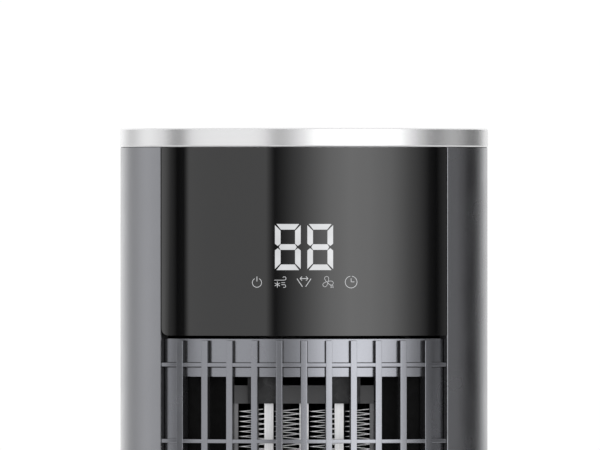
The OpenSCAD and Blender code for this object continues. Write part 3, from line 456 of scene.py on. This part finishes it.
def silicone_lead(name):
    """Soft dark insulation of the inner leads."""
    material, _ = new_finish(name, (0.012, 0.012, 0.013), 0.55)
    tint(material, noise(material, 60, detail=3), (0.009, 0.009, 0.01), (0.02, 0.02, 0.021))
    relief(material, noise(material, 900), 0.01 * MM)
    return material


def nylon_thread(name):
    """Dark nylon yarn."""
    material, _ = new_finish(name, (0.03, 0.03, 0.032), 0.5, Sheen_Weight=0.2)
    twist = noise(material, 2500, (1, 1, 2.5), detail=2)
    tint(material, twist, (0.018, 0.018, 0.02), (0.055, 0.055, 0.06))
    relief(material, twist, 0.03 * MM)
    return material


def pale_floor(name):
    """Seamless pale studio floor."""
    material, _ = new_finish(name, (0.8, 0.8, 0.8), 0.7)
    tint(material, noise(material, 3, detail=4), (0.78, 0.78, 0.78), (0.83, 0.83, 0.83))
    return material


SHELL_TONE = (0.196, 0.199, 0.212)

# Finishes of the frame's parts, each with the parts that wear it
FINISHES = (
    (paint_with_shaded_walls("satin grey paint", SHELL_TONE), ["rear_housing", "filter_cover"]),
    (bead_blasted_aluminium("bright satin ring", (0.58, 0.58, 0.585)), ["top_ring"]),
    (gloss_black("window gloss"), ["display_window"]),
    (gloss_black("lid gloss", (0.008, 0.008, 0.009), 0.16), ["top_cap"]),
    (textured_plastic("base plastic", (0.055, 0.055, 0.06), 0.42, 0.5), ["base_cover"]),
    (textured_plastic("under plate plastic", (0.03, 0.03, 0.032)), ["base_plate"]),
    (textured_plastic("black moulding", (0.012, 0.012, 0.013)),
     ["tip_plunger", "tip_guide", "tip_switch", "tower_floor", "display_carrier", "duct_top",
      "duct_bottom", "scroll_wall", "vortex_wall", "board_posts", "rocker_case", "blower_wheel",
      "filter_frame"]),
    (textured_plastic("handle moulding", (0.02, 0.02, 0.022), 0.55, 0.6, 0.04), ["handle_cup"]),
    (textured_plastic("rocker gloss", (0.01, 0.01, 0.011), 0.25, 0.8, 0.004), ["rocker"]),
    (textured_plastic("heat-proof cap", (0.05, 0.05, 0.052), 0.6, 0.4), ["ptc_end_caps"]),
    (textured_plastic("relay case", (0.012, 0.03, 0.09), 0.35, 0.9, 0.01), ["relays"]),
    (textured_plastic("capacitor sleeve", (0.012, 0.012, 0.016), 0.3, 1.2, 0.01),
     ["capacitors", "buzzer"]),
    (textured_plastic("lamp block", (0.02, 0.02, 0.02), 0.6), ["digit_module"]),
    (textured_plastic("bead of the probe", (0.02, 0.012, 0.01), 0.3), ["thermistor"]),
    (textured_plastic("cut-out ceramic", (0.5, 0.42, 0.3), 0.6, 0.5), ["thermal_cutout"]),
    (textured_plastic("white acetal", (0.72, 0.71, 0.67), 0.38, 1.0, 0.006),
     ["slip_ring", "swing_gear", "osc_pinion"]),
    (rubber("foot rubber"), ["rubber_feet", "cord_gland", "motor_grommets"]),
    (zinc_plate("zinc plate"),
     ["gear_screws", "base_screws", "osc_motor", "osc_bracket", "motor_can",
      "tip_spring", "touch_springs"]),
    (zinc_plate("blackened steel", (0.03, 0.03, 0.031)), ["ptc_brackets", "tower_screws"]),
    (zinc_plate("cast ballast", (0.12, 0.12, 0.125)), ["ballast_ring"]),
    (turned_metal("rolled aluminium", (0.62, 0.62, 0.63), 0.33, (1, 1, 0.02)), ["ptc_tubes"]),
    (turned_metal("dark anodised rail", (0.16, 0.16, 0.165), 0.4, (1, 1, 0.02)), ["ptc_rails"]),
    (turned_metal("brass spade", (0.72, 0.5, 0.2), 0.24), ["ptc_terminals"]),
    (turned_metal("sintered bronze", (0.4, 0.24, 0.12), 0.45), ["top_bush"]),
    (turned_metal("ground steel", (0.56, 0.56, 0.57), 0.2), ["blower_shaft"]),
    (laminated_steel("stacked sheets"), ["motor_rotor"]),
    (wound_copper("motor windings"), ["motor_stator"]),
    (solder_mask("green board"), ["display_board", "power_board"]),
    (lit_guide("glowing guide"), ["digit_segments", "icon_guides"]),
    (silicone_lead("silicone leads"), ["inner_leads"]),
)

# Finishes of the new pieces
bar_paint = paint_with_shaded_walls("grille grey paint", (0.2, 0.204, 0.222), 0.26)
# Near-black colour of the painted shade in the grille's inner corners
painted_shade_black = textured_plastic("painted shade black", (0.01, 0.01, 0.011), 0.7)
# Painted shade: near-black finish of the air guides, standing in for the shade deep inside the outlet
painted_shade_guides = stove_black("air guide painted shade")
fin_foil = turned_metal("fin foil", (0.6, 0.6, 0.61), 0.3, (1, 0.05, 1))
net_yarn = nylon_thread("net yarn")
figure_glow = lit_guide("figure glow", 0.66)
icon_glow = lit_guide("icon glow", 0.55)


def finish_frame():
    """Gives each part of the frame its finish."""
    for material, members in FINISHES:
        for name in members:
            mesh = nodes[name].data
            mesh.materials.clear()
            mesh.materials.append(material)


def round_edges(name, width, segments=2, angle=35):
    """Rounds a frame part's edges with modifiers; its own mesh stays as it is."""
    part = nodes[name]
    weld = part.modifiers.new("weld", "WELD")
    weld.merge_threshold = 0.002 * MM
    flat = part.modifiers.new("flat faces", "DECIMATE")
    flat.decimate_type = "DISSOLVE"
    flat.angle_limit = math.radians(0.4)
    bevel = part.modifiers.new("round edges", "BEVEL")
    bevel.width = width
    bevel.segments = segments
    bevel.limit_method = "ANGLE"
    bevel.angle_limit = math.radians(angle)
    bevel.use_clamp_overlap = True
    even = part.modifiers.new("even normals", "WEIGHTED_NORMAL")
    even.keep_sharp = True


# Frame parts with moulded edges, and how far each is rounded
ROUNDED = {
    "rear_housing": 0.6 * MM, "base_cover": 0.6 * MM, "display_window": 0.25 * MM,
    "filter_cover": 0.4 * MM, "handle_cup": 0.5 * MM, "rocker_case": 0.4 * MM,
    "rocker": 0.5 * MM, "rubber_feet": 0.4 * MM,
}

# ---- Making pieces -----------------------------------------------------------

def piece_from(mesh_maker, name, material, body, slot_name, *replaced, smooth_angle=40):
    """Finishes a bmesh as a piece that rides on a body."""
    mesh = bpy.data.meshes.new(name)
    mesh_maker.to_mesh(mesh)
    mesh_maker.free()
    mesh.materials.append(material)
    for face in mesh.polygons:
        face.use_smooth = True
    mesh.set_sharp_from_angle(angle=math.radians(smooth_angle))
    piece = bpy.data.objects.new(name, mesh)
    scene.collection.objects.link(piece)
    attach(piece, body)
    if replaced:
        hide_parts(*replaced)
    even = piece.modifiers.new("even normals", "WEIGHTED_NORMAL")
    even.keep_sharp = True
    return piece


def around(angle, radius, height):
    """Point at that turn from the front towards +X."""
    return Vector((radius * math.sin(angle), -radius * math.cos(angle), height))


def round_lines(name, line_r, resolution):
    """Empty curve whose lines become round rods with closed ends."""
    curve = bpy.data.curves.new(name, "CURVE")
    curve.dimensions = "3D"
    curve.bevel_depth = line_r
    curve.bevel_resolution = resolution
    curve.use_fill_caps = True
    return curve


def add_line(curve, points):
    """Adds an open line through these points to a curve."""
    spline = curve.splines.new("POLY")
    spline.points.add(len(points) - 1)
    for point, place in zip(spline.points, points):
        point.co = (*place, 1)


def mesh_of_lines(curve, material):
    """Turns a curve of lines into a mesh of one material."""
    drawn = bpy.data.objects.new(curve.name, curve)
    mesh = bpy.data.meshes.new_from_object(drawn)
    bpy.data.objects.remove(drawn)
    mesh.materials.clear()
    mesh.materials.append(material)
    return mesh


def soften(maker, edges, width, segments=2):
    """Rounds these edges of a bmesh."""
    bmesh.ops.bevel(
        maker, geom=edges, offset=width, offset_type="OFFSET", affect="EDGES",
        segments=segments, profile=0.5, material=-1, clamp_overlap=True)


def rim_edges(faces):
    """Edges where these faces meet at a corner."""
    return list({
        edge for face in faces for edge in face.edges
        if len(edge.link_faces) == 2 and edge.calc_face_angle() > math.radians(60)})


def upright_bar(maker, angle, width, inner, outer, low, high, round_r):
    """Adds an upright bar with rounded edges, its face turned to the front at that angle."""
    made = bmesh.ops.create_cube(maker, size=1)
    turn = Matrix.Rotation(angle, 4, "Z")
    place = Matrix.Translation((0, -(inner + outer) / 2, (low + high) / 2))
    size = Matrix.Diagonal((width, outer - inner, high - low, 1))
    bmesh.ops.transform(maker, matrix=turn @ place @ size, verts=made["verts"])
    edges = {edge for vert in made["verts"] for edge in vert.link_edges}
    soften(maker, list(edges), round_r)


def mark_finished(maker):
    """Tags every face, so that the next band leaves them alone."""
    for face in maker.faces:
        face.tag = True


def swept_band(maker, inner, outer, low, high, turn, round_r):
    """Adds a band of rectangular section, swept from -turn to +turn round the tower."""
    section = ((inner, low), (outer, low), (outer, high), (inner, high))
    start = maker.faces.new([maker.verts.new(around(-turn, r, z)) for r, z in section])
    bmesh.ops.spin(
        maker, geom=[start, *start.edges, *start.verts], cent=(0, 0, 0), axis=UP,
        angle=2 * turn, steps=band_steps, use_merge=False, use_duplicate=False)
    made = [face for face in maker.faces if not face.tag]
    bmesh.ops.recalc_face_normals(maker, faces=made)
    soften(maker, rim_edges(made), round_r)
    mark_finished(maker)


def outlet_skin(maker):
    """Adds the curved skin behind the bars, with the tall outlet cut through it."""
    outlet_low, outlet_high = duct_floor_top + outlet_lip, duct_lid_low - outlet_lip
    levels = (grille_lo.z, outlet_low, outlet_high, grille_top + skin_lip)
    side_steps, outlet_steps = 6, 24
    stretches = (
        (-insert_turn, -outlet_turn, side_steps),
        (-outlet_turn, outlet_turn, outlet_steps),
        (outlet_turn, insert_turn, side_steps))
    skin = bmesh.new()
    for start, end, steps in stretches:
        column = [skin.verts.new(around(start, skin_r, z)) for z in levels]
        edges = [skin.edges.new(pair) for pair in zip(column, column[1:])]
        bmesh.ops.spin(
            skin, geom=[*column, *edges], cent=(0, 0, 0), axis=UP,
            angle=end - start, steps=steps, use_merge=False, use_duplicate=False)
    bmesh.ops.remove_doubles(skin, verts=skin.verts, dist=0.01 * MM)

    def in_outlet(face):
        """True for a face inside the tall outlet."""
        middle = face.calc_center_median()
        turn = math.atan2(middle.x, -middle.y)
        return abs(turn) < outlet_turn and outlet_low < middle.z < outlet_high

    bmesh.ops.delete(skin, geom=[face for face in skin.faces if in_outlet(face)], context="FACES")
    bmesh.ops.recalc_face_normals(skin, faces=skin.faces)
    outward = sum(face.normal.dot(around(0, 1, 0)) for face in skin.faces)
    if outward < 0:
        bmesh.ops.reverse_faces(skin, faces=skin.faces)
    bmesh.ops.solidify(skin, geom=skin.faces, thickness=skin_t)
    soften(skin, rim_edges(skin.faces), 0.3 * MM)
    part = bpy.data.meshes.new("skin")
    skin.to_mesh(part)
    skin.free()
    maker.from_mesh(part)
    bpy.data.meshes.remove(part)


def barred_grille():
    """Front moulding: skin with the outlet, upright bars, cross bars and the plain sill."""
    cross_set = 0.15 * MM
    side_bite = 0.003
    maker = bmesh.new()
    outlet_skin(maker)
    for x in bar_places:
        first, last = (math.asin((x + side * bar_w / 2) / tower_r) for side in (-1, 1))
        upright_bar(
            maker, (first + last) / 2, 2 * bar_r * math.sin((last - first) / 2),
            skin_r - 0.6 * MM, bar_r - 0.01 * MM, sill_top - bar_root, grille_top, 0.3 * MM)
    mark_finished(maker)
    for level in cross_levels:
        swept_band(
            maker, skin_r - bar_root, bar_r - cross_set, level - cross_h / 2, level + cross_h / 2,
            insert_turn + side_bite, 0.2 * MM)
    swept_band(maker, skin_r - bar_root, bar_r, grille_lo.z, sill_top, insert_turn, 0.5 * MM)
    return piece_from(maker, "barred_grille", bar_paint, "tower", "grille_grey", "front_grille")


def painted_shade_corners():
    """Low black fillets where bars and cross bars meet the skin: painted shade, near-black strips that
    stand in for the shade in these inner corners.
    """
    maker = bmesh.new()
    shade_under_cross = 1.6 * shade_line_w
    side_gap = 0.002
    inner, outer = skin_r - 0.4 * MM, skin_r + 0.12 * MM
    for x in bar_places:
        turn = math.asin(x / tower_r)
        upright_bar(
            maker, turn, bar_w / math.cos(turn) + 2 * shade_line_w,
            inner, outer, duct_lid_low - outlet_lip, grille_top - 0.1 * MM, 0.1 * MM)
    mark_finished(maker)
    for level in cross_levels:
        if level > duct_lid_low:
            swept_band(
                maker, inner, outer, level - cross_h / 2 - shade_under_cross,
                level + cross_h / 2 + shade_line_w, insert_turn - side_gap, 0.1 * MM)
    return piece_from(maker, "painted_shade_corners", painted_shade_black, "tower", "grille_grey")


def air_guides():
    """Two black sheets that lead the warm air from the heater's sides to the edges of the outlet;
    their near-black colour also stands in for the shade inside the outer cells of the grille (painted
    shade).
    """
    sheet_t = 0.8 * MM
    end_gap = 0.3 * MM
    front = rails_lo.y - 2 * MM
    edge_r = skin_r - skin_t - 0.5 * MM
    edge_x = (skin_r - skin_t) * math.sin(outlet_turn) + 0.4 * MM
    corners = (
        (rails_hi.x - 0.5 * MM, front), (rails_hi.x + 3.5 * MM, front),
        (edge_x, -math.sqrt(edge_r ** 2 - edge_x ** 2)))
    low, high = duct_floor_top + end_gap, duct_lid_low - end_gap
    maker = bmesh.new()
    for side in (-1, 1):
        line = [maker.verts.new((side * x, y, low)) for x, y in corners]
        edges = [maker.edges.new(pair) for pair in zip(line, line[1:])]
        grown = bmesh.ops.extrude_edge_only(maker, edges=edges)["geom"]
        raised = [item for item in grown if isinstance(item, bmesh.types.BMVert)]
        bmesh.ops.translate(maker, vec=(0, 0, high - low), verts=raised)
    bmesh.ops.recalc_face_normals(maker, faces=maker.faces)
    bmesh.ops.solidify(maker, geom=maker.faces, thickness=sheet_t)
    bends = [edge for edge in maker.edges if edge.calc_face_angle(0) > math.radians(20)]
    soften(maker, bends, 0.2 * MM)
    return piece_from(maker, "air_guides", painted_shade_guides, "tower", "black_plastic")


def corrugated_fins():
    """Folded foil between the heater's tubes, far finer than the plain strips of the frame."""
    stacks = 4
    foil_t = 0.25 * MM
    fold = 1.25 * MM
    stack_w = 12.6 * MM
    pitch = (fins_hi.x - fins_lo.x - stack_w) / (stacks - 1)
    maker = bmesh.new()
    folds = int((fins_hi.z - fins_lo.z - foil_t) / fold)
    for stack in range(stacks):
        middle = (stack - (stacks - 1) / 2) * pitch
        left, right = middle - stack_w / 2 + foil_t, middle + stack_w / 2 - foil_t
        ends = [maker.verts.new((left, y, fins_lo.z + foil_t)) for y in (fins_lo.y, fins_hi.y)]
        edge = maker.edges.new(ends)
        for i in range(1, folds):
            grown = bmesh.ops.extrude_edge_only(maker, edges=[edge])["geom"]
            edge = next(item for item in grown if isinstance(item, bmesh.types.BMEdge))
            for vert in edge.verts:
                vert.co.x = left if i % 2 == 0 else right
                vert.co.z = fins_lo.z + foil_t + i * fold
    bmesh.ops.recalc_face_normals(maker, faces=maker.faces)
    bmesh.ops.solidify(maker, geom=maker.faces, thickness=foil_t)
    return piece_from(
        maker, "corrugated_fins", fin_foil, "tower", "bright_metal", "ptc_fins", smooth_angle=20)


def laid_on_window(mesh, lift):
    """Bends a flat figure, drawn in X and Z with its height in -Y, round the window's face."""
    for vert in mesh.vertices:
        reach = tower_r + lift - vert.co.y
        vert.co.y = -math.sqrt(reach ** 2 - vert.co.x ** 2)


def segment_outlines():
    """Outlines of the seven segments about a digit's middle, with mitred joints."""
    w, h, t, g = digit_w / 2 - mask_inset, digit_h / 2 - mask_inset, stroke, segment_gap
    top = [(-w + 1.4 * g, h), (w - 1.4 * g, h), (w - t - 0.3 * g, h - t), (-w + t + 0.3 * g, h - t)]
    side = [(w, h - g), (w, t / 2 + g / 2), (w - t / 2, g), (w - t, t / 2 + g / 2), (w - t, h - t - g)]
    middle = [
        (-w + t / 2 + g, 0), (-w + t, t / 2), (w - t, t / 2),
        (w - t / 2 - g, 0), (w - t, -t / 2), (-w + t, -t / 2)]
    outlines = [middle]
    for up in (1, -1):
        outlines.append([(x, up * z) for x, z in top])
        for out in (1, -1):
            outlines.append([(out * x, up * z) for x, z in side])
    return outlines


def lit_digits():
    """Two glowing figures, all segments lit, cut upright so that they bend with the window."""
    side_cuts = 10
    cut_pitch = 1.5 * MM
    maker = bmesh.new()
    for centre in (-digit_pitch / 2, digit_pitch / 2):
        for outline in segment_outlines():
            corners = [maker.verts.new((centre + x, 0, digit_z + z)) for x, z in outline]
            maker.faces.new(corners)
    for cut in range(-side_cuts, side_cuts + 1):
        bmesh.ops.bisect_plane(
            maker, geom=[*maker.verts, *maker.edges, *maker.faces],
            plane_co=(cut * cut_pitch, 0, 0), plane_no=(1, 0, 0))
    for face in maker.faces:
        if face.normal.y > 0:
            face.normal_flip()
    bmesh.ops.solidify(maker, geom=maker.faces, thickness=0.02 * MM)
    piece = piece_from(maker, "lit_digits", figure_glow, "tower", "light_white")
    laid_on_window(piece.data, glow_lift)
    return piece


def arc(x, z, radius, start, end, steps=16):
    """Points of an arc, in millimetres about the icon's middle; angles in degrees from +X."""
    turns = [math.radians(start + (end - start) * i / steps) for i in range(steps + 1)]
    return [(x + radius * math.cos(a), z + radius * math.sin(a)) for a in turns]


def petal(turn, length=2.9, width=0.95, steps=16):
    """Closed loop of a fan blade that leaves the middle at that angle."""
    c, s = math.cos(math.radians(turn)), math.sin(math.radians(turn))
    points = []
    for i in range(steps + 1):
        a = 2 * math.pi * i / steps
        along, aside = length * (1 - math.cos(a)) / 2, width * math.sin(a) * (1 - 0.35 * math.cos(a))
        points.append((along * c - aside * s, along * s + aside * c))
    return points


# Each icon is a list of lines, in millimetres about its middle

def power_icon():
    """Open ring with a stroke through its gap."""
    return [arc(0, -0.3, 2.3, 118, 422), [(0, 0.3), (0, 2.75)]]


def cool_wind_icon():
    """Curling wind lines beside a small star."""
    star_x, star_z, ray = -1.55, -1.2, 1.5
    star = [
        [(star_x + r * math.cos(a), star_z + r * math.sin(a)) for r in (-ray, ray)]
        for a in (math.radians(30), math.radians(90), math.radians(150))]
    upper = [(-3.1, 0.95), (1.9, 0.95), *arc(1.9, 1.8, 0.85, -90, 150)]
    lower = [(0.5, -0.3), (2.3, -0.3)]
    curl = [(0.5, -1.3), (1.9, -1.3), *arc(1.9, -2.0, 0.7, 90, -130)]
    return [upper, lower, curl, *star]


def swing_icon():
    """Two spread lines under a double-headed arrow."""
    sides = [[(s * 3.5, 1.7), (s * 0.8, -2.3)] for s in (-1, 1)]
    sweep = [(-1.7, 1.75), (1.7, 1.75)]
    heads = [[(s * 1.0, 2.75), (s * 2.0, 1.75), (s * 1.0, 0.75)] for s in (-1, 1)]
    return [*sides, sweep, *heads]


def fan_icon():
    """Three fan blades above two short waves."""
    blades = [petal(turn) for turn in (105, -15, 225)]
    waves = [
        [(1.4 + 0.2 * i, z + 0.16 * math.sin(i * 1.5)) for i in range(9)]
        for z in (-1.9, -2.6)]
    return [*blades, *waves]


def clock_icon():
    """Clock face with two hands."""
    return [arc(0, 0, 2.95, 98, 442), [(0, 1.8), (0, 0.1), (1.6, 0.1)]]


# Each icon with the width of its line
ICONS = (
    (power_icon, 0.34 * MM), (cool_wind_icon, 0.3 * MM), (swing_icon, 0.42 * MM),
    (fan_icon, 0.26 * MM), (clock_icon, 0.36 * MM),
)


def lit_icons():
    """Five glowing line icons in a row under the figures."""
    flatten = Matrix.Diagonal((1, 0.1, 1, 1))
    for i, (icon, icon_line) in enumerate(ICONS):
        curve = round_lines("icon lines", icon_line / 2, 1)
        for line in icon():
            add_line(curve, [(x * MM, 0, z * MM) for x, z in line])
        mesh = mesh_of_lines(curve, icon_glow)
        middle = ((i - (icon_count - 1) / 2) * icon_pitch, 0, icon_z)
        mesh.transform(Matrix.Translation(middle) @ flatten)
        laid_on_window(mesh, glow_lift)
        piece = bpy.data.objects.new(icon.__name__, mesh)
        scene.collection.objects.link(piece)
        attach(piece, "tower")


def dust_net():
    """Woven net of the inlet filter, its threads passing over and under each other."""
    spacing = 2.2 * MM
    thread_r = 0.16 * MM
    net_r = net_hi.y - 0.4 * MM
    half_turn = math.asin(net_hi.x / net_hi.y)
    rows = int((net_hi.z - net_lo.z) / spacing)
    columns = 2 * int(net_r * half_turn / spacing)
    curve = round_lines("net threads", thread_r, 0)

    def crossing(row, column, side):
        """Place where two threads cross, on the inside or the outside of each other."""
        turn = math.pi + (column - columns / 2) * spacing / net_r
        lift = thread_r * (1 if (row + column) % 2 else -1) * side
        return around(turn, net_r + lift, net_lo.z + (row + 0.5) * spacing)

    for row in range(rows):
        add_line(curve, [crossing(row, column, 1) for column in range(columns + 1)])
    for column in range(columns + 1):
        add_line(curve, [crossing(row, column, -1) for row in range(rows)])
    piece = bpy.data.objects.new("dust_net", mesh_of_lines(curve, net_yarn))
    scene.collection.objects.link(piece)
    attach(piece, "filter_cover")
    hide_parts("filter_mesh")


def studio_floor():
    """Wide pale disc that the heater stands on."""
    floor_r = 4.0
    maker = bmesh.new()
    bmesh.ops.create_circle(maker, cap_ends=True, segments=96, radius=floor_r)
    mesh = bpy.data.meshes.new("floor")
    maker.to_mesh(mesh)
    maker.free()
    mesh.materials.append(pale_floor("studio floor"))
    floor = bpy.data.objects.new("floor", mesh)
    scene.collection.objects.link(floor)


# ---- Assembly ----------------------------------------------------------------

scene.view_settings.view_transform = "Standard"
studio_camera()
studio_world()
studio_floor()
finish_frame()
for part_name, edge_round in ROUNDED.items():
    round_edges(part_name, edge_round)
barred_grille()
painted_shade_corners()
air_guides()
corrugated_fins()
lit_digits()
lit_icons()
dust_net()
